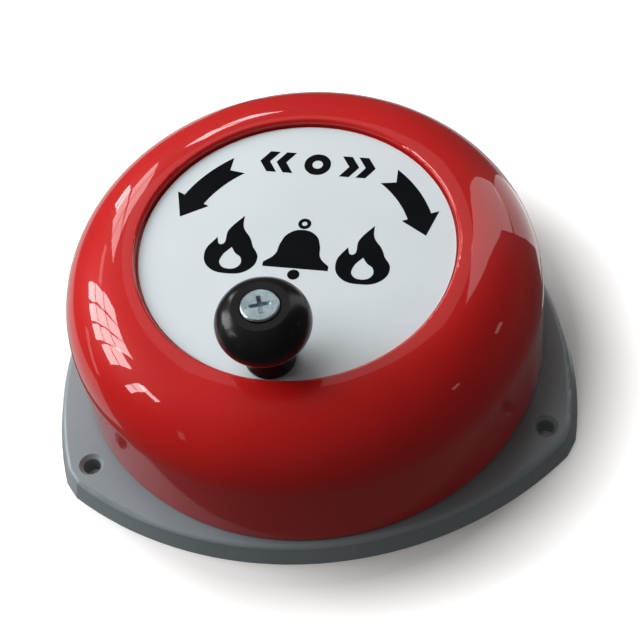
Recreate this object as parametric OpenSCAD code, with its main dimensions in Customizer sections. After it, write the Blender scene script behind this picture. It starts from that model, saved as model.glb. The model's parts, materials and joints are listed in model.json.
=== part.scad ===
// Hand-turned rotary fire bell.
// The gong turns by its knob on a fixed spindle. A gear on its hub drives a small
// striker rotor four times as fast, and two free hammers on the rotor fly out and
// strike the inside of the gong wall.
// Origin: centre of the back (wall) face of the base plate, +Z out of the wall
// along the gong axis, +Y towards the top fixing corner. Millimetres.

/* [Gong] */
// Outer radius of the gong wall
gong_r = 100; // [97:0.5:103]
// Thickness of the gong's pressed sheet
sheet_t = 2.5; // [2:0.1:3]
// Radius of the rounded shoulder
shoulder_r = 31; // [29:0.5:33]
// Height of the rim crest above the back face
crest_z = 77; // [76:0.5:79]
// Depth from the rim crest to the recessed face
recess_depth = 4; // [3:0.25:5]
// Radius of the recessed face
recess_r = 66; // [65.5:0.25:67]
// Running gap between the gong's edge and the base plate
edge_gap = 1; // [0.6:0.1:2]
// Turn of the gong at rest, from the top fixing corner
gong_rest = -12.3; // [-20:0.1:20]

/* [Face label] */
// Radius of the label disc
label_r = 65; // [63:0.25:65]
// Thickness of the label disc
label_t = 0.8; // [0.4:0.1:1]

/* [Base plate] */
// Distance from the axis to the middle of each bowed side
plate_reach = 105; // [105:0.5:110]
// Distance from the axis to each corner, before it is blunted
plate_corner = 123; // [122:0.5:126]
// How far the corners are blunted
corner_blunt = 1.2; // [0.8:0.1:2]
// Height of the base plate
plate_h = 10; // [9.5:0.25:11]
// Thickness of the plate's deck
deck_t = 3.5; // [3:0.25:4]
// Thickness of the plate's outer skirt
skirt_t = 4; // [3.5:0.25:5]
// How far the skirt leans in over its height
skirt_draft = 2; // [1:0.25:2.5]
// Radius of the plate's top edge
plate_edge_r = 2.5; // [1.5:0.25:3]
// Thickness of the ribs under the deck
rib_t = 3; // [2.5:0.25:4]

/* [Fixing holes] */
// Radius of the circle that the fixing holes lie on
fixing_circle_r = 110; // [109:0.5:111]
// Radius of a fixing hole
fixing_hole_r = 3.75; // [3:0.25:4]
// Chamfer at the mouth of a fixing hole
fixing_chamfer = 1.6; // [1:0.1:2]

/* [Knob] */
// Distance of the knob from the gong axis
knob_offset = 54.7; // [54:0.1:54.8]
// Largest radius of the knob
knob_r = 18.8; // [18:0.1:20]
// Radius of the knob's rounded side
knob_side_r = 10.7; // [10.5:0.1:11.5]
// Height from the knob's widest ring to its flat top
knob_crown = 10.2; // [9.5:0.1:10.4]
// Height of the knob
knob_h = 35; // [34:0.5:36]
// Radius of the knob's foot
knob_foot_r = 10.2; // [9.8:0.1:10.2]
// Radius of the knob's neck
knob_neck_r = 9.2; // [8.6:0.1:9.3]
// Radius of the knob screw's head
knob_head_r = 7.5; // [7.3:0.1:8]

/* [Striker gears] */
// Gear module
gear_m = 1.5; // [1.5]
// Teeth on the drive gear
drive_teeth = 64; // [64]
// Teeth on the pinion
pinion_teeth = 16; // [16]
// Tooth thinning on each flank
gear_backlash = 0.1; // [0.08:0.01:0.15]

/* [Striker] */
// Distance from the rotor axis to each hammer pin
arm_r = 20; // [19:0.5:20]
// Distance from a hammer's pin to the middle of its head
hammer_len = 10.5; // [10:0.1:10.5]
// Radius of a hammer's head
hammer_head_r = 6.7; // [6:0.1:6.7]

/* [Hidden] */
$fn = 96;

cut = 1;             // how far a cutting shape runs past what it cuts
play = 0.1;          // end play between turning and standing parts
running = 0.05;      // radial clearance of a shaft in its bush
red = "#b3161a";
grey = "#8d9496";
steel = "#b9bdc0";
zinc = "#c8ccce";
bronze = "#a9793f";
black = "#161616";
nylon = "#e9e6da";

// Heights up the axis
deck_z = plate_h - deck_t;
face_z = crest_z - recess_depth;
floor_z = face_z - sheet_t;
label_z = face_z + label_t;
shoulder_z = crest_z - shoulder_r;
gong_edge_z = plate_h + edge_gap;

// Base plate outline: three large circles, each centred towards the opposite corner
side_shift = (plate_corner * plate_corner - plate_reach * plate_reach)
    / (2 * plate_reach - plate_corner);
side_r = plate_reach + side_shift;
corner_angles = [90, 210, 330];
rib_angles = [30, 90, 150, 210, 270, 330];
fixing_boss_r = 9;

// Spindle and what is stacked on it
turret_r = 20;
turret_z = plate_h + 4;
nut_pocket_r = 14;
nut_pocket_z = 8;
hub_boss_r = 18;
hub_boss_z = 1;
thread_r = 5;
spindle_r = 6;
collar_r = 10;
collar_z = turret_z + 2;
spindle_end_low = 1;
washer_t = 1.5;
thrust_z = collar_z + washer_t;
bush_r = 8;
bush_flange_r = 11;
bush_flange_t = 1.5;
bush_len = 12;
hub_low_z = thrust_z + play + bush_flange_t;
well_z = 61;
well_r = 12.5;
spindle_step_z = well_z + bush_flange_t + play;
spindle_end_high = face_z - 0.5;
hub_nut_z = spindle_step_z + washer_t;
hub_nut_h = 7.2;
nut_r = 9.81;        // M10, 17 mm across flats
spindle_washer_r = 10.5;
thrust_washer_r = 12;
hub_washer_r = 11.5;
insert_r = 6.6;
insert_h = 1.6;

// Hub
hub_spigot_r = 14;
hub_tube_r = 15;
gear_flange_r = 24;
gear_flange_t = 4;
top_flange_r = 27;
top_flange_t = 5;
gear_z = 20;
gear_t = 6;
gear_top = gear_z + gear_t;
gear_screw_circle = 19;
gear_screw_r = 2;
hub_screw_circle = 21;
hub_screw_r = 2.5;
hub_screw_head_r = 5;
screw_play = 0.2;    // radial clearance of a screw in its hole

// Gears
drive_pitch_r = gear_m * drive_teeth / 2;
pinion_pitch_r = gear_m * pinion_teeth / 2;
post_y = drive_pitch_r + pinion_pitch_r;

// Striker post and rotor
post_r = 4;
post_boss_r = 9;
post_boss_z = 17;
post_low_z = 3;
post_high_z = 37;
small_washer_r = 8;
small_washer_t = 1;
pinion_z = post_boss_z + small_washer_t + play;
tooth_low_z = gear_z - 0.5;
tooth_high_z = gear_top + 0.5;
rotor_z = 30;
rotor_t = 2.5;
rotor_arm_r = 4.5;   // half width of the rotor's arms
rotor_sleeve_r = 6;
sleeve_top_z = 33.1;
post_washer_z = sleeve_top_z + play;
post_washer_t = 0.8;
clip_t = 0.9;
post_groove_r = 3.2;
pin_r = 2.5;
pin_groove_r = 1.9;
hammer_z = rotor_z + rotor_t + 0.2;
eye_t = 6;
head_t = 10;
eye_r = 5;
pin_clip_z = hammer_z + eye_t + 0.2;
pin_end_z = pin_clip_z + clip_t + 1.2;

// Knob and its screw
knob_low_z = label_z + 0.2;
knob_top_z = knob_low_z + knob_h;
knob_ball_z = knob_top_z - knob_crown;
knob_bore_r = 5.55;
sleeve_r = 5.5;
m8_r = 4;
head_t_knob = 4;
sleeve_end_z = knob_top_z - 3;
head_pocket_r = knob_head_r + 0.6;
head_pocket_z = sleeve_end_z - 0.4;
knob_screw_end = floor_z - 10.5;
m8_nut_r = 7.5;
m8_nut_t = 6.5;
knob_washer_t = 1.6;

// ---------- shared shapes ----------

// A ring: outer radius, inner radius, height, standing at z
module ring(outer, inner, h, z) {
    translate([0, 0, z]) difference() {
        cylinder(r = outer, h = h);
        translate([0, 0, -cut]) cylinder(r = inner, h = h + 2 * cut);
    }
}

// A hexagon nut with a plain bore
module nut(hex_r, bore_r, h, z) {
    translate([0, 0, z]) difference() {
        cylinder(r = hex_r, h = h, $fn = 6);
        translate([0, 0, -cut]) cylinder(r = bore_r, h = h + 2 * cut);
    }
}

// A spring clip: a ring whose mouth is a little wider than its seat's radius
module clip(outer, seat_r, z) {
    mouth = 1.2 * seat_r;
    difference() {
        ring(outer, seat_r, clip_t, z);
        translate([0, -mouth / 2, z - cut]) cube([outer + cut, mouth, clip_t + 2 * cut]);
    }
}

// A straight cross cut into a screw head, its floor at z
module cross_slot(length, width, depth, z) {
    translate([0, 0, z]) for (a = [0, 90])
        rotate([0, 0, a]) translate([-length / 2, -width / 2, 0]) cube([length, width, depth]);
}

// A cross recess: a square pit with four wings whose ends slope down into it, from a face at z
module cross_recess(reach, width, depth, z) {
    pit = 1.3;
    slope = atan(depth / (reach - pit));
    translate([0, 0, z - depth]) {
        rotate([0, 0, 45]) translate([-pit, -pit, 0]) cube([2 * pit, 2 * pit, depth + cut]);
        for (a = [0, 90, 180, 270])
            rotate([0, 0, a]) translate([pit, -width / 2, 0]) rotate([0, -slope, 0])
                cube([reach + depth, width, reach]);
    }
}

// A flanged bush, its flange below its body
module bush() {
    difference() {
        union() {
            cylinder(r = bush_flange_r, h = bush_flange_t);
            cylinder(r = bush_r, h = bush_flange_t + bush_len);
        }
        translate([0, 0, -cut])
            cylinder(r = spindle_r + running, h = bush_flange_t + bush_len + 2 * cut);
    }
}

// Places children in the gong's own frame, where the label is upright
module in_gong() {
    rotate([0, 0, gong_rest]) children();
}

// Places children on the knob's axis
module on_knob_axis() {
    in_gong() translate([0, -knob_offset, 0]) children();
}

// Places children on the striker post's axis
module on_post() {
    translate([0, post_y, 0]) children();
}

// Copies children evenly round the axis
module around(count, radius, start = 0) {
    for (k = [0 : count - 1])
        rotate([0, 0, start + k * 360 / count]) translate([radius, 0, 0]) children();
}

// ---------- gears ----------

// Involute function in degrees of a pressure angle in degrees
function involute(a) = tan(a) * 180 / PI - a;
pressure_angle = 20;
root_depth = 1.25;   // in modules
tip_height = 0.95;   // in modules
function base_radius(teeth) = gear_m * teeth / 2 * cos(pressure_angle);
// Half of a tooth's angle at radius r
function half_tooth(teeth, r) =
    90 / teeth
    - gear_backlash / (gear_m * teeth / 2) * 180 / PI
    + involute(pressure_angle)
    - involute(acos(min(1, base_radius(teeth) / r)));
function polar(r, a) = [r * cos(a), r * sin(a)];

module gear_outline(teeth) {
    pitch = gear_m * teeth / 2;
    root = pitch - root_depth * gear_m;
    tip = pitch + tip_height * gear_m;
    radii = [root, max(base_radius(teeth), root + 0.3), pitch, tip];
    polygon([
        for (k = [0 : teeth - 1], side = [-1, 1], i = [0 : len(radii) - 1])
            let (r = side < 0 ? radii[i] : radii[len(radii) - 1 - i])
            polar(r, k * 360 / teeth + side * half_tooth(teeth, r))
    ]);
}

// ---------- base ----------

// A disc with a leaning side and a rounded top edge, seen in section
module drafted_disc(r) {
    top_r = r - skirt_draft - plate_edge_r;
    side_z = plate_h - plate_edge_r;
    rotate_extrude() {
        polygon([[0, 0], [r, 0], [r - skirt_draft, side_z], [0, side_z]]);
        square([top_r, plate_h]);
        intersection() {
            translate([top_r, side_z]) circle(r = plate_edge_r);
            translate([top_r - cut, side_z - cut])
                square([plate_edge_r + 2 * cut, plate_edge_r + 2 * cut]);
        }
    }
}

// Children at the three side circles' centres, which overlap in the plate's outline
module side_centre(a) {
    translate([side_shift * cos(a), side_shift * sin(a), 0]) children();
}

module plate_outside() {
    intersection() {
        side_centre(corner_angles[0]) drafted_disc(side_r);
        side_centre(corner_angles[1]) drafted_disc(side_r);
        side_centre(corner_angles[2]) drafted_disc(side_r);
        drafted_disc(plate_corner - corner_blunt);
    }
}

module plate_hollow() {
    hollow_r = side_r - skirt_t;
    intersection() {
        side_centre(corner_angles[0]) translate([0, 0, -cut]) cylinder(r = hollow_r, h = deck_z + cut);
        side_centre(corner_angles[1]) translate([0, 0, -cut]) cylinder(r = hollow_r, h = deck_z + cut);
        side_centre(corner_angles[2]) translate([0, 0, -cut]) cylinder(r = hollow_r, h = deck_z + cut);
    }
}

// What stays standing in the hollow: ribs and bosses
module plate_ribs() {
    rib_low_z = 1.5;
    for (a = rib_angles)
        rotate([0, 0, a]) translate([0, -rib_t / 2, rib_low_z])
            cube([plate_corner, rib_t, plate_h - rib_low_z - cut]);
    around(3, fixing_circle_r, 90)
        translate([0, 0, -2 * cut]) cylinder(r = fixing_boss_r, h = plate_h);
    translate([0, 0, hub_boss_z]) cylinder(r = hub_boss_r, h = plate_h - 2 * cut);
    on_post() translate([0, 0, hub_boss_z]) cylinder(r = post_boss_r - 1, h = plate_h - 2 * cut);
}

module base_plate() {
    color(grey) difference() {
        union() {
            difference() {
                plate_outside();
                difference() {
                    plate_hollow();
                    plate_ribs();
                }
            }
            translate([0, 0, deck_z]) cylinder(r = turret_r, h = turret_z - deck_z);
            on_post() translate([0, 0, deck_z])
                cylinder(r = post_boss_r, h = post_boss_z - deck_z);
        }
        translate([0, 0, -cut]) cylinder(r = thread_r + play, h = turret_z + 2 * cut);
        translate([0, 0, -cut]) cylinder(r = nut_pocket_r, h = nut_pocket_z + cut);
        on_post() translate([0, 0, post_low_z])
            cylinder(r = post_r, h = post_boss_z);
        around(3, fixing_circle_r, 90) {
            translate([0, 0, -cut]) cylinder(r = fixing_hole_r, h = plate_h + 2 * cut);
            translate([0, 0, plate_h - fixing_chamfer])
                cylinder(r1 = fixing_hole_r, r2 = fixing_hole_r + 2 * fixing_chamfer,
                         h = 2 * fixing_chamfer);
        }
    }
}

// The spindle: threaded foot, collar on the turret, journal and threaded top
module spindle() {
    color(steel) union() {
        translate([0, 0, spindle_end_low]) cylinder(r = thread_r, h = collar_z - spindle_end_low);
        translate([0, 0, turret_z]) cylinder(r = collar_r, h = collar_z - turret_z);
        translate([0, 0, turret_z]) cylinder(r = spindle_r, h = spindle_step_z - turret_z);
        translate([0, 0, turret_z]) cylinder(r = thread_r, h = spindle_end_high - turret_z);
    }
}

module spindle_washer() {
    color(zinc) ring(spindle_washer_r, thread_r + play, washer_t, nut_pocket_z - washer_t);
}

module spindle_nut() {
    jam_nut_h = 5;
    color(zinc) nut(nut_r, thread_r, jam_nut_h, nut_pocket_z - washer_t - jam_nut_h);
}

module thrust_washer() {
    color(bronze) ring(thrust_washer_r, spindle_r + play, washer_t, collar_z);
}

module hub_washer() {
    color(zinc) ring(hub_washer_r, thread_r + play, washer_t, spindle_step_z);
}

// Lock nut: a hexagon below and a round collar that holds the insert
module hub_nut() {
    hex_h = 5.2;
    collar = 8;
    color(zinc) difference() {
        union() {
            nut(nut_r, thread_r, hex_h, hub_nut_z);
            ring(collar, thread_r, hub_nut_h, hub_nut_z);
        }
        translate([0, 0, hub_nut_z + hub_nut_h - insert_h])
            cylinder(r = insert_r, h = insert_h + cut);
    }
}

module hub_nut_insert() {
    color("royalblue") ring(insert_r, thread_r, insert_h, hub_nut_z + hub_nut_h - insert_h);
}

// Post for the striker, pressed into its boss, with a groove for the clip
module striker_post() {
    groove_z = post_washer_z + post_washer_t;
    color(steel) on_post() difference() {
        translate([0, 0, post_low_z]) cylinder(r = post_r, h = post_high_z - post_low_z);
        ring(post_r + cut, post_groove_r, clip_t + 0.1, groove_z);
    }
}

module pinion_washer() {
    color(nylon) on_post() ring(small_washer_r, post_r + play, small_washer_t, post_boss_z);
}

module post_washer() {
    color(zinc) on_post() ring(small_washer_r, post_r + play, post_washer_t, post_washer_z);
}

module post_clip() {
    outer = 7;
    color(steel) on_post() rotate([0, 0, 90])
        clip(outer, post_groove_r, post_washer_z + post_washer_t);
}

// ---------- gong ----------

// Half section of the solid shape whose skin is the gong, drawn in by an inset
module gong_section(inset) {
    side = gong_r - inset;
    round_r = shoulder_r - inset;
    crest_r = gong_r - shoulder_r;
    translate([0, gong_edge_z]) square([side, shoulder_z - gong_edge_z]);
    square_top = crest_z - inset;
    translate([0, gong_edge_z]) square([crest_r, square_top - gong_edge_z]);
    intersection() {
        translate([crest_r, shoulder_z]) circle(r = round_r);
        translate([crest_r - cut, shoulder_z - cut]) square(round_r + 2 * cut);
    }
}

// Half section of the recess in the face, with its rounded lip
module recess_section() {
    lip_r = 1.5;
    translate([0, face_z]) square([recess_r, recess_depth + cut]);
    difference() {
        translate([0, crest_z - lip_r]) square([recess_r + lip_r, lip_r + cut]);
        translate([recess_r + lip_r, crest_z - lip_r]) circle(r = lip_r);
    }
}

module gong_shell() {
    hub_hole_r = hub_tube_r + running;
    hole_r = hub_screw_r + screw_play;
    sink_r = hub_screw_head_r + screw_play;
    sliver = 0.01;
    color(red) difference() {
        rotate_extrude() difference() {
            gong_section(0);
            difference() {
                union() {
                    gong_section(sheet_t);
                    translate([0, plate_h - cut]) square([gong_r - sheet_t, edge_gap + 2 * cut]);
                }
                translate([0, floor_z]) square([recess_r + sheet_t, crest_z]);
            }
            recess_section();
        }
        translate([0, 0, floor_z - cut]) cylinder(r = hub_hole_r, h = sheet_t + 2 * cut);
        in_gong() around(4, hub_screw_circle, 45) {
            translate([0, 0, floor_z - cut]) cylinder(r = hole_r, h = sheet_t + 2 * cut);
            translate([0, 0, floor_z]) cylinder(r1 = hole_r, r2 = sink_r, h = sheet_t);
            translate([0, 0, face_z - sliver]) cylinder(r = sink_r, h = cut);
        }
        on_knob_axis() translate([0, 0, floor_z - cut]) cylinder(r = m8_r + play, h = sheet_t + 2 * cut);
    }
}

// Hub: spigot for the gear, gear flange, tube, top flange and well for the lock nut
module gong_hub() {
    flange_z = floor_z - top_flange_t;
    color(steel) difference() {
        union() {
            translate([0, 0, hub_low_z]) cylinder(r = hub_spigot_r, h = gear_top + 1 - hub_low_z);
            translate([0, 0, gear_top]) cylinder(r = gear_flange_r, h = gear_flange_t);
            translate([0, 0, gear_top]) cylinder(r = hub_tube_r, h = face_z - gear_top);
            translate([0, 0, flange_z]) cylinder(r = top_flange_r, h = top_flange_t);
        }
        translate([0, 0, hub_low_z - cut]) cylinder(r = bush_r, h = face_z);
        translate([0, 0, well_z]) cylinder(r = well_r, h = face_z);
        around(3, gear_screw_circle, 30)
            translate([0, 0, gear_top - cut]) cylinder(r = gear_screw_r, h = gear_flange_t);
        in_gong() around(4, hub_screw_circle, 45)
            translate([0, 0, flange_z - cut]) cylinder(r = hub_screw_r, h = top_flange_t + 2 * cut);
    }
}

module lower_bush() {
    color(bronze) translate([0, 0, hub_low_z - bush_flange_t]) bush();
}

module upper_bush() {
    color(bronze) translate([0, 0, well_z + bush_flange_t]) mirror([0, 0, 1]) bush();
}

// Drive gear: one tooth points straight at the pinion
module drive_gear() {
    light_circle = 35;
    light_r = 7;
    color(nylon) translate([0, 0, gear_z]) difference() {
        linear_extrude(gear_t) rotate(90) gear_outline(drive_teeth);
        translate([0, 0, -cut]) cylinder(r = hub_spigot_r, h = gear_t + 2 * cut);
        around(3, gear_screw_circle, 30)
            translate([0, 0, -cut]) cylinder(r = gear_screw_r + screw_play, h = gear_t + 2 * cut);
        around(6, light_circle, 30)
            translate([0, 0, -cut]) cylinder(r = light_r, h = gear_t + 2 * cut);
    }
}

// Three pan-head screws that hold the gear up against its flange
module gear_screws() {
    head_r = 3.6;
    head_h = 2.2;
    grip = 2.8;
    slot_d = 1.2;
    color(zinc) around(3, gear_screw_circle, 30) difference() {
        union() {
            translate([0, 0, gear_z - head_h]) cylinder(r = head_r, h = head_h);
            translate([0, 0, gear_z - head_h]) cylinder(r = gear_screw_r, h = gear_t + head_h + grip);
        }
        cross_slot(head_r, 0.8, cut + slot_d, gear_z - head_h - cut);
    }
}

// Four countersunk screws that hold the gong to the hub, hidden by the label
module hub_screws() {
    shank_low = floor_z - top_flange_t - 2;
    head_low = floor_z + play;
    slot_d = 1.4;
    color(zinc) in_gong() around(4, hub_screw_circle, 45) difference() {
        union() {
            translate([0, 0, shank_low]) cylinder(r = hub_screw_r, h = face_z - slot_d - shank_low);
            translate([0, 0, head_low])
                cylinder(r1 = hub_screw_r, r2 = hub_screw_head_r, h = face_z - play - head_low);
        }
        cross_slot(hub_screw_head_r, 1, slot_d + cut, face_z - slot_d);
    }
}

module face_label() {
    color("#d5dde2") difference() {
        translate([0, 0, face_z]) cylinder(r = label_r, h = label_t);
        on_knob_axis() translate([0, 0, face_z - cut])
            cylinder(r = sleeve_r + play, h = label_t + 2 * cut);
    }
}

// Spacer tube that the knob turns on, clamped between the gong face and the screw head
module knob_sleeve() {
    color(zinc) on_knob_axis() ring(sleeve_r, m8_r + play, sleeve_end_z - face_z, face_z);
}

module knob_screw() {
    edge = 0.6;
    head_top = sleeve_end_z + head_t_knob;
    cross_turn = 20;
    color(zinc) on_knob_axis() difference() {
        union() {
            translate([0, 0, knob_screw_end]) cylinder(r = m8_r, h = sleeve_end_z + 1 - knob_screw_end);
            translate([0, 0, sleeve_end_z]) cylinder(r = knob_head_r, h = head_t_knob - edge);
            translate([0, 0, head_top - edge])
                cylinder(r1 = knob_head_r, r2 = knob_head_r - edge, h = edge);
        }
        rotate([0, 0, cross_turn]) cross_recess(4.2, 1.7, 2.8, head_top);
    }
}

module knob_washer() {
    outer = 8;
    color(zinc) on_knob_axis() ring(outer, m8_r + play, knob_washer_t, floor_z - knob_washer_t);
}

module knob_nut() {
    color(zinc) on_knob_axis() nut(m8_nut_r, m8_r, m8_nut_t, floor_z - knob_washer_t - m8_nut_t);
}

// Knob: round side, soft top, waisted neck on a round foot, bored for its sleeve
module knob() {
    ball_x = knob_r - knob_side_r;
    foot_round = 1.2;
    neck_z = knob_low_z + 7;
    stem_h = 14;
    waist_r = 12;
    color(black) on_knob_axis() difference() {
        rotate_extrude() difference() {
            union() {
                intersection() {
                    translate([ball_x, knob_ball_z]) circle(r = knob_side_r);
                    translate([0, knob_low_z]) square([knob_r + cut, knob_h]);
                }
                translate([0, knob_ball_z - knob_side_r])
                    square([ball_x, knob_top_z - knob_ball_z + knob_side_r]);
                translate([0, knob_low_z + foot_round]) square([knob_foot_r, stem_h]);
                translate([0, knob_low_z]) square([knob_foot_r - foot_round, stem_h]);
                translate([knob_foot_r - foot_round, knob_low_z + foot_round]) circle(r = foot_round);
            }
            translate([knob_neck_r + waist_r, neck_z]) circle(r = waist_r);
        }
        translate([0, 0, knob_low_z - cut]) cylinder(r = knob_bore_r, h = knob_h + 2 * cut);
        translate([0, 0, head_pocket_z]) cylinder(r = head_pocket_r, h = knob_h);
    }
}

// ---------- striker ----------

// Pinion and sleeve in one: one tooth gap faces the drive gear
module pinion() {
    gap_turn = 270 + 180 / pinion_teeth;
    foot_r = 7.5;
    shoulder = 9;
    color(steel) on_post() difference() {
        union() {
            translate([0, 0, pinion_z]) cylinder(r = foot_r, h = tooth_low_z - pinion_z);
            translate([0, 0, tooth_low_z]) linear_extrude(tooth_high_z - tooth_low_z)
                rotate(gap_turn) gear_outline(pinion_teeth);
            translate([0, 0, tooth_high_z]) cylinder(r = shoulder, h = rotor_z - tooth_high_z);
            translate([0, 0, tooth_high_z]) cylinder(r = rotor_sleeve_r, h = sleeve_top_z - tooth_high_z);
        }
        translate([0, 0, pinion_z - cut]) cylinder(r = post_r + running, h = sleeve_top_z);
    }
}

// Two-armed plate, staked to the sleeve, with a hole near each end
module rotor_plate() {
    middle_r = 10;
    color(zinc) on_post() translate([0, 0, rotor_z]) difference() {
        union() {
            translate([-arm_r, -rotor_arm_r, 0]) cube([2 * arm_r, 2 * rotor_arm_r, rotor_t]);
            cylinder(r = middle_r, h = rotor_t);
            for (s = [-1, 1]) translate([s * arm_r, 0, 0]) cylinder(r = rotor_arm_r, h = rotor_t);
        }
        translate([0, 0, -cut]) cylinder(r = rotor_sleeve_r, h = rotor_t + 2 * cut);
        for (s = [-1, 1]) translate([s * arm_r, 0, -cut]) cylinder(r = pin_r, h = rotor_t + 2 * cut);
    }
}

module hammer_pins() {
    rivet_r = 4;
    rivet_t = 1.2;
    color(steel) on_post() for (s = [-1, 1]) translate([s * arm_r, 0, 0]) difference() {
        union() {
            translate([0, 0, rotor_z - rivet_t]) cylinder(r = rivet_r, h = rivet_t);
            translate([0, 0, rotor_z - rivet_t]) cylinder(r = pin_r, h = pin_end_z - rotor_z + rivet_t);
        }
        ring(pin_r + cut, pin_groove_r, clip_t + 0.1, pin_clip_z);
    }
}

module hammer_clips() {
    color(steel) on_post() for (s = [-1, 1]) translate([s * arm_r, 0, 0])
        rotate([0, 0, 90]) clip(rotor_arm_r, pin_groove_r, pin_clip_z);
}

// A hammer: an eye on the pin, a short lever and a heavy round head
module hammer(side) {
    lever_w = 7;
    color(bronze) on_post() translate([side * arm_r, 0, hammer_z]) difference() {
        union() {
            cylinder(r = eye_r, h = eye_t);
            translate([side > 0 ? 0 : -hammer_len, -lever_w / 2, 0]) cube([hammer_len, lever_w, eye_t]);
            translate([side * hammer_len, 0, 0]) cylinder(r = hammer_head_r, h = head_t);
        }
        translate([0, 0, -cut]) cylinder(r = pin_r + running, h = head_t + 2 * cut);
        translate([0, 0, eye_t]) cylinder(r = eye_r, h = head_t);
    }
}

module hammer_a() { hammer(1); }
module hammer_b() { hammer(-1); }

// ---------- nodes ----------

base_plate();
spindle();
spindle_washer();
spindle_nut();
thrust_washer();
hub_washer();
hub_nut();
hub_nut_insert();
striker_post();
pinion_washer();
post_washer();
post_clip();
gong_shell();
gong_hub();
lower_bush();
upper_bush();
drive_gear();
gear_screws();
hub_screws();
face_label();
knob_sleeve();
knob_screw();
knob_washer();
knob_nut();
knob();
pinion();
rotor_plate();
hammer_pins();
hammer_clips();
hammer_a();
hammer_b();
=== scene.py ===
"""Looks of the hand-turned fire bell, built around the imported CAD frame.

Everything is in metres, in the frame of the CAD model: the plate's back lies on z = 0 and the gong
turns about the Z axis.
"""

import json
import math

import bmesh
import bpy
from mathutils import Matrix, Vector


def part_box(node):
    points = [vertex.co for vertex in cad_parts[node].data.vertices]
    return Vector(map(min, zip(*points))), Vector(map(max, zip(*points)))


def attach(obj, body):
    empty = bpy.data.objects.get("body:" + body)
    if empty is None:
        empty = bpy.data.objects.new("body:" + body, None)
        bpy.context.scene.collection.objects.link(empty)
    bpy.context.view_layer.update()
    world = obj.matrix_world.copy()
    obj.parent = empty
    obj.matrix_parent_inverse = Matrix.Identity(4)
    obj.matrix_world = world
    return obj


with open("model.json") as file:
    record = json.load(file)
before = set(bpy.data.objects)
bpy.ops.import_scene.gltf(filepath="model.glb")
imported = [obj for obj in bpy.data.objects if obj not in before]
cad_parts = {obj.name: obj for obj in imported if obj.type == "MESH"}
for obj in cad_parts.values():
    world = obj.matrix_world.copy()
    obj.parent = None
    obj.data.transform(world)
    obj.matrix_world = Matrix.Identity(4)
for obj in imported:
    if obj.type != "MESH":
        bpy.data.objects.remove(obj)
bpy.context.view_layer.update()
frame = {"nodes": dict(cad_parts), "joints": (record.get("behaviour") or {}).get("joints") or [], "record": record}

MM = 0.001
nodes = frame["nodes"]
slot_of = {part["node"]: part["material_slot"] for part in frame["record"]["subparts"]}
joint = {j["name"]: j for j in frame["joints"]}

# The label's face and radius, and its turn about the gong axis: the knob stands at its foot
label_low, label_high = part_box("face_label")
label_top = label_high.z
label_r = (label_high.x - label_low.x) / 2
knob_axis = Vector(joint["knob_spin"]["pos_m"][:2])
label_turn = math.atan2(knob_axis.x, -knob_axis.y)


# ---------- materials ----------

# Most of a noise's values lie between these two
NOISE_LOW, NOISE_HIGH = 0.3, 0.7


def set_inputs(shader, values):
    """Sets constant values on a shader's own sockets."""
    for name, value in values.items():
        socket = shader.inputs[name]
        socket.default_value = (*value, 1.0) if socket.type == "RGBA" else value


class Look:
    """A node-based material around one Principled shader, in object coordinates."""

    def __init__(self, name, **values):
        self.material = bpy.data.materials.new(name)
        self.material.use_nodes = True
        self.tree = self.material.node_tree
        self.shader = self.tree.nodes["Principled BSDF"]
        set_inputs(self.shader, values)
        self.place = self.tree.nodes.new("ShaderNodeTexCoord").outputs["Object"]
        self.normal = None

    def link(self, a, b):
        self.tree.links.new(a, b)

    def noise(self, size, detail=3.0, stretch=(1, 1, 1)):
        """Noise whose features are about size metres across."""
        mapping = self.tree.nodes.new("ShaderNodeMapping")
        mapping.inputs["Scale"].default_value = stretch
        texture = self.tree.nodes.new("ShaderNodeTexNoise")
        texture.inputs["Scale"].default_value = 1 / size
        texture.inputs["Detail"].default_value = detail
        self.link(self.place, mapping.inputs["Vector"])
        self.link(mapping.outputs["Vector"], texture.inputs["Vector"])
        return texture.outputs["Fac"]

    def spread(self, factor, start, end, low, high):
        """A number that goes from low to high as factor goes from start to end."""
        spread = self.tree.nodes.new("ShaderNodeMapRange")
        spread.inputs["From Min"].default_value = start
        spread.inputs["From Max"].default_value = end
        spread.inputs["To Min"].default_value = low
        spread.inputs["To Max"].default_value = high
        self.link(factor, spread.inputs["Value"])
        return spread.outputs["Result"]

    def colour(self, factor, low, high):
        """Clouds the base colour between low and high."""
        ramp = self.tree.nodes.new("ShaderNodeValToRGB")
        first, last = ramp.color_ramp.elements
        first.position, last.position = NOISE_LOW, NOISE_HIGH
        first.color, last.color = (*low, 1), (*high, 1)
        self.link(factor, ramp.inputs["Fac"])
        self.link(ramp.outputs["Color"], self.shader.inputs["Base Color"])

    def gloss(self, factor, low, high):
        """Varies the roughness between low and high."""
        self.link(self.spread(factor, NOISE_LOW, NOISE_HIGH, low, high),
                  self.shader.inputs["Roughness"])

    def glow_outside(self, near, far, strength):
        """Emission that rises from nothing at the radius near to its strength at far."""
        length = self.tree.nodes.new("ShaderNodeVectorMath")
        length.operation = "LENGTH"
        self.link(self.place, length.inputs[0])
        self.link(self.spread(length.outputs["Value"], near, far, 0, strength),
                  self.shader.inputs["Emission Strength"])

    def bump(self, factor, height, strength, coat=False):
        """Adds relief of height metres, on top of any relief added before."""
        bump = self.tree.nodes.new("ShaderNodeBump")
        bump.inputs["Distance"].default_value = height
        bump.inputs["Strength"].default_value = strength
        self.link(factor, bump.inputs["Height"])
        if self.normal:
            self.link(self.normal, bump.inputs["Normal"])
        self.normal = bump.outputs["Normal"]
        self.link(self.normal, self.shader.inputs["Normal"])
        if coat:
            self.link(self.normal, self.shader.inputs["Coat Normal"])


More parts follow.
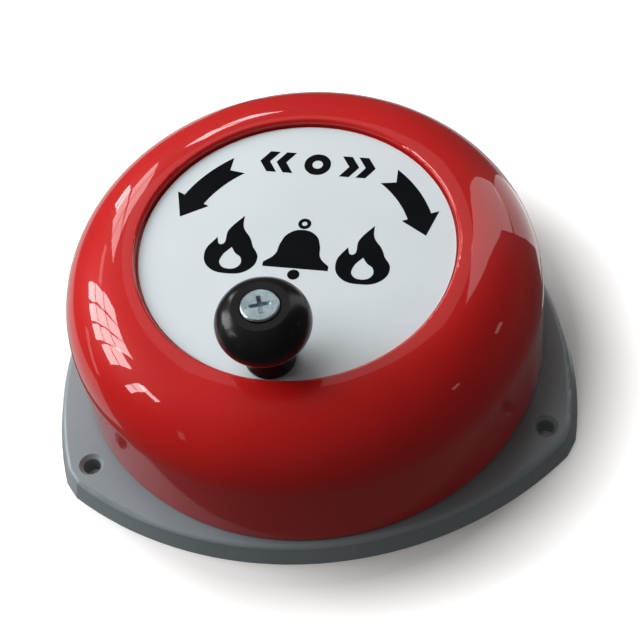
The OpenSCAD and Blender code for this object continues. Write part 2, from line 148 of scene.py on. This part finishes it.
def enamel():
    """Glossy red enamel: a clear coat with the long, shallow waves of pressed sheet."""
    look = Look("red_enamel", Roughness=0.4, **{
        "Coat Weight": 1.0, "Coat Roughness": 0.02, "Coat IOR": 1.5, "Specular IOR Level": 0.1})
    look.colour(look.noise(60 * MM), (0.47, 0.007, 0.006), (0.53, 0.010, 0.009))
    look.bump(look.noise(50 * MM, detail=1), 0.2 * MM, 0.5, coat=True)
    look.bump(look.noise(14 * MM, detail=2), 0.05 * MM, 0.6, coat=True)
    return look.material


def plate_paint():
    """Semi-gloss grey paint with the fine texture of the casting below it."""
    look = Look("grey_paint", Roughness=0.35, **{
        "Coat Weight": 0.25, "Coat Roughness": 0.12, "Specular IOR Level": 0.25})
    look.colour(look.noise(30 * MM), (0.213, 0.252, 0.270), (0.235, 0.276, 0.296))
    look.gloss(look.noise(12 * MM), 0.30, 0.42)
    look.bump(look.noise(1.2 * MM, detail=4), 0.03 * MM, 0.6, coat=True)
    return look.material


def label_film():
    """Cool white satin film, laid down not quite flat."""
    look = Look("label_film", **{"Coat Weight": 0.5, "Coat Roughness": 0.1})
    look.colour(look.noise(40 * MM), (0.605, 0.670, 0.700), (0.640, 0.705, 0.735))
    look.gloss(look.noise(10 * MM), 0.32, 0.40)
    look.bump(look.noise(12 * MM, detail=2), 0.02 * MM, 0.4, coat=True)
    return look.material


def label_ink():
    """Black screen print."""
    look = Look("black_ink", **{"Specular IOR Level": 0.03})
    look.colour(look.noise(20 * MM), (0.003, 0.0035, 0.005), (0.005, 0.0055, 0.007))
    look.gloss(look.noise(4 * MM), 0.28, 0.40)
    look.bump(look.noise(0.6 * MM), 0.006 * MM, 0.4)
    return look.material


def knob_black():
    """Polished black phenolic, its gloss a little uneven from handling."""
    look = Look("black_phenolic", IOR=1.33)
    look.colour(look.noise(15 * MM), (0.006, 0.006, 0.007), (0.010, 0.010, 0.011))
    look.gloss(look.noise(6 * MM, detail=4), 0.19, 0.25)
    look.bump(look.noise(8 * MM, detail=2), 0.02 * MM, 0.4)
    look.bump(look.noise(0.8 * MM), 0.003 * MM, 0.5)
    return look.material


def metal(name, low, high, rough, grain=1.2 * MM, relief=0.01 * MM, stretch=(1, 1, 1)):
    """A bare or plated metal with cloudy colour, patchy gloss and a fine grain."""
    look = Look(name, Metallic=1.0)
    look.colour(look.noise(4 * MM, detail=4), low, high)
    look.gloss(look.noise(2 * MM, detail=4), *rough)
    look.bump(look.noise(grain, detail=4, stretch=stretch), relief, 0.7)
    return look.material


def zinc_plate():
    """Bluish plating over a slightly dented surface."""
    return metal("zinc_plate", (0.42, 0.54, 0.58), (0.66, 0.80, 0.85), (0.24, 0.46),
                 grain=1.6 * MM, relief=0.16 * MM)


def bright_steel():
    """Turned steel. The grain is thin along Z, so it runs round the parts that stand upright."""
    return metal("bright_steel", (0.48, 0.48, 0.49), (0.62, 0.62, 0.63), (0.22, 0.36),
                 stretch=(1, 1, 12))


def bronze():
    """Sintered bronze."""
    return metal("bronze", (0.48, 0.30, 0.13), (0.60, 0.40, 0.19), (0.28, 0.48))


def nylon(name, low, high):
    """Moulded nylon that lets a little light in."""
    look = Look(name, **{"Subsurface Weight": 0.1, "Subsurface Radius": (2 * MM, 2 * MM, 2 * MM)})
    look.colour(look.noise(10 * MM), low, high)
    look.gloss(look.noise(4 * MM), 0.38, 0.52)
    look.bump(look.noise(1 * MM), 0.01 * MM, 0.5)
    return look.material


materials = {
    "gong_enamel": enamel(),
    "plate_paint": plate_paint(),
    "label_film": label_film(),
    "label_ink": label_ink(),
    "knob_black": knob_black(),
    "zinc_plate": zinc_plate(),
    "bright_steel": bright_steel(),
    "bronze": bronze(),
    "natural_nylon": nylon("natural_nylon", (0.70, 0.67, 0.57), (0.76, 0.73, 0.63)),
    "blue_nylon": nylon("blue_nylon", (0.03, 0.08, 0.38), (0.04, 0.10, 0.45)),
}


def dress(obj, slot):
    """Gives every face of obj the slot's material."""
    obj.data.materials.clear()
    obj.data.materials.append(materials[slot])


for name, obj in nodes.items():
    dress(obj, slot_of[name])


# ---------- label artwork ----------
# Outlines are in millimetres from the label's middle, with the label upright.

# Thickness of the print
INK = 0.05 * MM

# Heights on the label: the foot of the row of pictograms, and the middle of the small sign
ROW_Y = -15.5
SIGN_Y = 44.5


def on_label(x, y):
    """A place on the label, given in millimetres with the label upright, in the shared frame."""
    c, s = math.cos(label_turn), math.sin(label_turn)
    return (c * x - s * y) * MM, (s * x + c * y) * MM


def polar(r, degrees_from_up):
    """A point at the radius r, its angle counted clockwise from up."""
    a = math.radians(degrees_from_up)
    return r * math.sin(a), r * math.cos(a)


def arc(r, start, end, steps=12):
    """Points along an arc round the label's middle."""
    return [polar(r, start + (end - start) * k / steps) for k in range(steps + 1)]


def spline_of(curve, outline):
    """Adds a closed outline. A point marked "tip" is sharp, and the rest are smooth."""
    spline = curve.splines.new("BEZIER")
    spline.bezier_points.add(len(outline) - 1)
    spline.use_cyclic_u = True
    for bezier, (x, y, *mark) in zip(spline.bezier_points, outline):
        bezier.co = (*on_label(x, y), 0)
        bezier.handle_left_type = bezier.handle_right_type = "VECTOR" if mark else "AUTO"


def printed(name, outlines):
    """Flat ink inside the outlines. An outline inside another leaves a bare place."""
    curve = bpy.data.curves.new(name, "CURVE")
    curve.dimensions = "2D"
    curve.fill_mode = "BOTH"
    curve.extrude = INK / 2
    curve.resolution_u = 10
    for outline in outlines:
        spline_of(curve, outline)
    shape = bpy.data.objects.new(name, curve)
    bpy.context.scene.collection.objects.link(shape)
    bpy.context.view_layer.update()
    evaluated = shape.evaluated_get(bpy.context.evaluated_depsgraph_get())
    mesh = bpy.data.meshes.new_from_object(evaluated)
    mesh.transform(Matrix.Translation((0, 0, label_top + INK / 2)))
    bpy.data.objects.remove(shape)
    weld(mesh)
    add_piece(name, mesh, "label_ink")


def weld(mesh):
    """Joins the faces and the sides of a printed shape into one closed surface."""
    bm = bmesh.new()
    bm.from_mesh(mesh)
    bmesh.ops.remove_doubles(bm, verts=bm.verts, dist=INK / 10)
    bmesh.ops.recalc_face_normals(bm, faces=bm.faces)
    bm.to_mesh(mesh)
    bm.free()


def add_piece(name, mesh, slot):
    """Links a finished mesh as a piece that wears a slot's material and rides on the gong."""
    obj = bpy.data.objects.new(name, mesh)
    bpy.context.scene.collection.objects.link(obj)
    dress(obj, slot)
    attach(obj, "gong")


def sharp(points):
    """An outline whose every point is a corner."""
    return [(x, y, "tip") for x, y in points]


def placed(outline, x, y):
    """The outline, moved by x and y."""
    return [(x + px, y + py, *mark) for px, py, *mark in outline]


def turning_arrow(name, side):
    """A curved arrow with a swallow tail. side is 1 for the right one, -1 for the left."""
    inner, outer = 47.0, 57.0
    barb_inner, barb_outer, tip_r = 44.5, 60.5, 52.8
    tail, notch, head, tip = side * 38.0, side * 43.0, side * 66.0, side * 77.5
    outline = arc(outer, tail, head)
    outline += [polar(barb_outer, head), polar(tip_r, tip), polar(barb_inner, head)]
    outline += arc(inner, head, tail)
    outline += [polar((inner + outer) / 2, notch)]
    printed(name, [sharp(outline)])


def flame():
    """A flame 30 mm high with a bare heart, standing on y = 0."""
    body = [(0, 0), (-8.5, 2.6), (-11.2, 10), (-7.6, 18, "tip"), (-5.4, 14.4), (-3.6, 22),
            (1.6, 30, "tip"), (2.4, 24), (6.2, 18.6), (8.0, 14.6, "tip"), (11, 9), (8.4, 2.6)]
    heart = [(0.2, 2.4), (-3.8, 4.4), (-3.8, 8.4), (-0.6, 13.4, "tip"), (1.4, 10.6),
             (4.2, 8.2), (4.2, 4.4)]
    return [body, heart]


def bell():
    """The parts of a bell 30 mm high: dome with a flared lip, clapper and loop, above y = 0."""
    dome = [(-13.5, 5.2, "tip"), (-13.5, 7.4, "tip"), (-9.4, 11.6), (-8.2, 17.6), (-5.8, 22.6),
            (0, 25), (5.8, 22.6), (8.2, 17.6), (9.4, 11.6), (13.5, 7.4, "tip"), (13.5, 5.2, "tip")]
    return {"dome": [dome], "clapper": [circle(0, 2.1, 2.5)],
            "loop": [circle(0, 28.2, 2.7), circle(0, 28.2, 1.1)]}


def circle(x, y, r, steps=8):
    """A round outline about the point x, y."""
    angles = [2 * math.pi * k / steps for k in range(steps)]
    return [(x + r * math.cos(a), y + r * math.sin(a)) for a in angles]


def chevron(side):
    """A bold chevron 11 mm high that points outwards, its middle at x = 0."""
    return sharp([(side * -3.6, -5.5), (side * 0.6, -5.5), (side * 4.2, 0), (side * 0.6, 5.5),
                  (side * -3.6, 5.5), (side * 0, 0)])


def label_art():
    """Turning arrows, a row of fire pictograms and a small turn-either-way sign."""
    turning_arrow("arrow_left", -1)
    turning_arrow("arrow_right", 1)
    for hand, x in (("left", -26), ("right", 28.5)):
        printed(f"flame_{hand}", [placed(outline, x, ROW_Y) for outline in flame()])
    for part, outlines in bell().items():
        printed(f"bell_{part}", [placed(outline, 1.2, ROW_Y) for outline in outlines])
    sign_x, hub_r, hole_r = 1, 5.6, 2.2
    printed("turn_dot", [circle(sign_x, SIGN_Y, hub_r), circle(sign_x, SIGN_Y, hole_r)])
    for hand, side in (("left", -1), ("right", 1)):
        for k, reach in enumerate((13.5, 20.5)):
            outline = placed(chevron(side), sign_x + side * reach, SIGN_Y)
            printed(f"chevron_{hand}_{k + 1}", [outline])


def label_edge():
    """The bright cut edge of the label film, a hair proud of its face."""
    width, proud, slope = 0.35 * MM, 0.06 * MM, 0.07 * MM
    inner, crest = label_r - width, label_top + proud
    section = [(inner, label_top), (inner + slope, crest), (label_r - slope, crest),
               (label_r, label_top)]
    turned("label_edge", section, "label_film")


def turned(name, section, slot, segments=192):
    """A closed ring with the section, given as (radius, height) points, about the gong axis."""
    bm = bmesh.new()
    loops = []
    for k in range(segments):
        a = 2 * math.pi * k / segments
        loops.append([bm.verts.new((r * math.cos(a), r * math.sin(a), z)) for r, z in section])
    for k, loop in enumerate(loops):
        after = loops[(k + 1) % segments]
        for i in range(len(section)):
            j = (i + 1) % len(section)
            bm.faces.new((loop[i], after[i], after[j], loop[j]))
    bmesh.ops.recalc_face_normals(bm, faces=bm.faces)
    for face in bm.faces:
        face.smooth = True
    mesh = bpy.data.meshes.new(name)
    bm.to_mesh(mesh)
    bm.free()
    add_piece(name, mesh, slot)


label_art()
label_edge()


# ---------- camera, light and floor ----------

def direction(azimuth, elevation):
    """The unit vector at an azimuth, counted from +X, and an elevation, both in degrees."""
    a, e = math.radians(azimuth), math.radians(elevation)
    return Vector((math.cos(e) * math.cos(a), math.cos(e) * math.sin(a), math.sin(e)))


def facing(back, roll=0.0):
    """Rotation whose local +Z is back, kept level and then rolled."""
    right = Vector((0, 0, 1)).cross(back).normalized()
    up = back.cross(right)
    r = math.radians(roll)
    x = math.cos(r) * right + math.sin(r) * up
    return Matrix((x, back.cross(x), back)).transposed().to_4x4()


def camera():
    """A hand-held view from the front and above, a little off level."""
    aim = Vector((5.88, -12.58, 40)) * MM
    back = direction(-84.634, 54.12)
    distance, roll = 748.8 * MM, -9.46
    data = bpy.data.cameras.new("camera")
    data.lens = 100.924
    data.sensor_width = 36
    obj = bpy.data.objects.new("camera", data)
    bpy.context.scene.collection.objects.link(obj)
    obj.matrix_world = Matrix.Translation(aim + back * distance) @ facing(back, roll)
    bpy.context.scene.camera = obj


# Distance of every light from the bell
ROOM = 1.5


def span(degrees):
    """Width of a thing that covers an angle, seen from the bell across the room."""
    return 2 * ROOM * math.tan(math.radians(degrees / 2))


def softbox(name, azimuth, elevation, wide, high, radiance, roll=0.0, mirrored=True, lit=True,
            colour=(1, 1, 1)):
    """A rectangular light that fills the given angles, in degrees, as seen from the bell.

    mirrored says whether glossy surfaces show it, and lit whether it lights matt ones.
    """
    data = bpy.data.lights.new(name, "AREA")
    data.shape = "RECTANGLE"
    data.size = span(wide)
    data.size_y = span(high)
    data.energy = radiance * math.pi * data.size * data.size_y
    data.color = colour
    obj = bpy.data.objects.new(name, data)
    bpy.context.scene.collection.objects.link(obj)
    toward = direction(azimuth, elevation)
    obj.matrix_world = Matrix.Translation(toward * ROOM) @ facing(toward, roll)
    obj.visible_glossy = mirrored
    obj.visible_diffuse = lit


def window(name, azimuth, elevation, wide, high, columns, rows, radiance, roll=0.0, bar=0.8):
    """A softbox split into panes by bars, all angles in degrees."""
    pane_w = (wide - bar * (columns - 1)) / columns
    pane_h = (high - bar * (rows - 1)) / rows
    for column in range(columns):
        across = (column + 0.5) * (pane_w + bar) - (wide + bar) / 2
        for row in range(rows):
            rise = (row + 0.5) * (pane_h + bar) - (high + bar) / 2
            r = math.radians(roll)
            east = across * math.cos(r) - rise * math.sin(r)
            up = across * math.sin(r) + rise * math.cos(r)
            squeeze = math.cos(math.radians(elevation + up))
            softbox(f"{name}_{column}_{row}", azimuth + east / squeeze, elevation + up,
                    pane_w, pane_h, radiance, roll)


def lights():
    """Each light's azimuth, elevation, width and height in degrees, and its radiance."""
    # Windows, which the gong mirrors as bright panes
    glass, far_glass = 9.5, 4.5
    window("window_far", 101, 35, 9, 6, 2, 1, glass, roll=35)
    window("window_back", 121, 34, 13, 17, 2, 2, far_glass)
    window("window_back_low", 124, 20, 5, 10, 1, 2, glass)
    window("window_left", 157, 29, 19, 30, 3, 3, glass)
    window("window_left_end", 173, 28, 8, 19, 1, 2, glass)
    window("window_front", 189, 26, 4, 16, 1, 2, glass)
    window("window_front_top", 193, 34, 9, 4, 1, 1, glass)

    # Soft glows and small glints in the enamel
    softbox("glow_left", 139, 30, 10, 4, 1.5)
    softbox("glow_low", 169, -1, 18, 4, 1.0, roll=-35)
    softbox("glint_front", -143, 13, 3, 9, 0.7, roll=15)
    softbox("glint_right", 1, 21, 4, 4, 1.4)
    softbox("glint_middle", -28, 24, 3, 3, 1.4)

    # The pale wall on the right, the bench round the bell, and the ceiling. What lies below the
    # floor shows in the gong all the same, because reflections pass through the floor.
    softbox("wall_right", 50, 33, 17, 50, 1.7, roll=-12, lit=False)
    softbox("wall_right_low", 48, -16, 17, 50, 1.1, roll=12, lit=False)
    softbox("bench_left", 140, -32, 70, 28, 0.55)
    softbox("bench_right", 78, -38, 36, 30, 0.45)
    softbox("ceiling", 95, 56, 30, 24, 0.5)

    # Large soft fills that no surface mirrors
    warm = (1, 0.94, 0.86)
    softbox("fill", 152, 61, 60, 50, 2.12, mirrored=False)
    softbox("fill_back", 95, 20, 40, 16, 1.2, mirrored=False)
    softbox("fill_front", -112, 18, 60, 36, 0.44, mirrored=False, colour=warm)
    softbox("fill_right", 12, 1, 40, 20, 2.6, mirrored=False, colour=warm)


def room():
    """A dim, even room behind the lights."""
    world = bpy.data.worlds.new("room")
    world.use_nodes = True
    world.node_tree.nodes["Background"].inputs["Color"].default_value = (0.072, 0.070, 0.068, 1)
    bpy.context.scene.world = world


def floor():
    """A pale floor that glows from just outside the plate, so that only a soft shadow shows."""
    radius, gap = 40, 0.2 * MM
    mesh = bpy.data.meshes.new("floor")
    bm = bmesh.new()
    bmesh.ops.create_circle(bm, cap_ends=True, segments=96, radius=radius)
    bm.to_mesh(mesh)
    bm.free()
    obj = bpy.data.objects.new("floor", mesh)
    bpy.context.scene.collection.objects.link(obj)
    look = Look("pale_floor", Roughness=0.8, **{
        "Base Color": (0.95, 0.95, 0.95), "Specular IOR Level": 0.2, "Emission Color": (1, 1, 1)})
    look.bump(look.noise(400 * MM), 0.4 * MM, 0.1)
    look.glow_outside(near=114 * MM, far=145 * MM, strength=0.6)
    obj.data.materials.append(look.material)
    obj.location.z = -gap
    obj.visible_diffuse = False
    obj.visible_glossy = False


camera()
lights()
room()
floor()
bpy.context.scene.view_settings.view_transform = "Standard"
